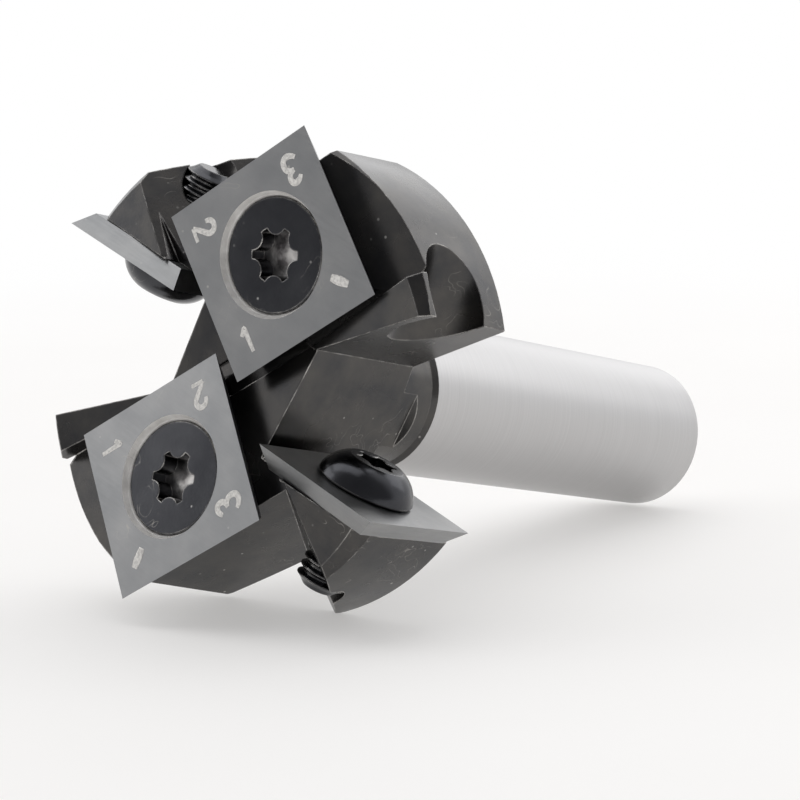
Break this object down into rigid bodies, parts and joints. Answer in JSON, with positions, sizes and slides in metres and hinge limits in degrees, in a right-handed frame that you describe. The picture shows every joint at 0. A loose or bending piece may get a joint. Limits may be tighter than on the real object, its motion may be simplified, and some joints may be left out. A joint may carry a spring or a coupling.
{
  "type": "face mill",
  "caption": "Shank-mounted face mill: black steel head on a plain round shank, flat square face knives and upright square side knives held by six-lobe screws.",
  "frame": {"origin": "on the cutter axis, in the plane swept by the tips of the face knives", "axes": "+Z along the axis towards the shank end, +Y through the middle of face knife 1, side knife 1 on -X"},
  "size_m": [0.038, 0.038, 0.0618],
  "materials": {
    "body_steel": "black-oxided head and neck with a satin sheen, bright fine-ground shank",
    "carbide": "fine-ground satin tungsten carbide",
    "screw_steel": "black-oxided steel, semi-gloss"
  },
  "bodies": {
    "body": {"cutter_body": "body_steel"},
    "face_knife_1": {"face_knife_1": "carbide"},
    "face_screw_1": {"face_knife_screw_1": "screw_steel"},
    "side_knife_1": {"side_knife_1": "carbide"},
    "side_screw_1": {"side_knife_screw_1": "screw_steel"},
    "face_knife_2": {"face_knife_2": "carbide"},
    "face_screw_2": {"face_knife_screw_2": "screw_steel"},
    "side_knife_2": {"side_knife_2": "carbide"},
    "side_screw_2": {"side_knife_screw_2": "screw_steel"}
  },
  "joints": [
    {"name": "face_knife_1_lift", "type": "slide", "parent": "body", "child": "face_knife_1", "axis": [-0.069, -0.075, -0.9948], "range_m": [0, 0.0056]},
    {"name": "face_screw_1_turn", "type": "hinge", "parent": "face_knife_1", "child": "face_screw_1", "pos_m": [0, 0.0093, 0.00084], "axis": [-0.069, -0.075, -0.9948], "range_deg": [0, 2521]},
    {"name": "side_knife_1_lift", "type": "slide", "parent": "body", "child": "side_knife_1", "axis": [0, 1, 0], "range_m": [0, 0.0056]},
    {"name": "side_screw_1_turn", "type": "hinge", "parent": "side_knife_1", "child": "side_screw_1", "pos_m": [-0.01285, -0.003, 0.0063], "axis": [0, 1, 0], "range_deg": [0, 2881]},
    {"name": "face_knife_2_lift", "type": "slide", "parent": "body", "child": "face_knife_2", "axis": [0.069, 0.075, -0.9948], "range_m": [0, 0.0056]},
    {"name": "face_screw_2_turn", "type": "hinge", "parent": "face_knife_2", "child": "face_screw_2", "pos_m": [0, -0.0093, 0.00084], "axis": [0.069, 0.075, -0.9948], "range_deg": [0, 2521]},
    {"name": "side_knife_2_lift", "type": "slide", "parent": "body", "child": "side_knife_2", "axis": [0, -1, 0], "range_m": [0, 0.0056]},
    {"name": "side_screw_2_turn", "type": "hinge", "parent": "side_knife_2", "child": "side_screw_2", "pos_m": [0.01285, 0.003, 0.0063], "axis": [0, -1, 0], "range_deg": [0, 2881]}
  ],
  "couplings": [
    {"joint": "face_screw_1_turn", "follows": "face_knife_1_lift", "rad_per_m": 7854},
    {"joint": "side_screw_1_turn", "follows": "side_knife_1_lift", "rad_per_m": 8976},
    {"joint": "face_screw_2_turn", "follows": "face_knife_2_lift", "rad_per_m": 7854},
    {"joint": "side_screw_2_turn", "follows": "side_knife_2_lift", "rad_per_m": 8976}
  ]
}
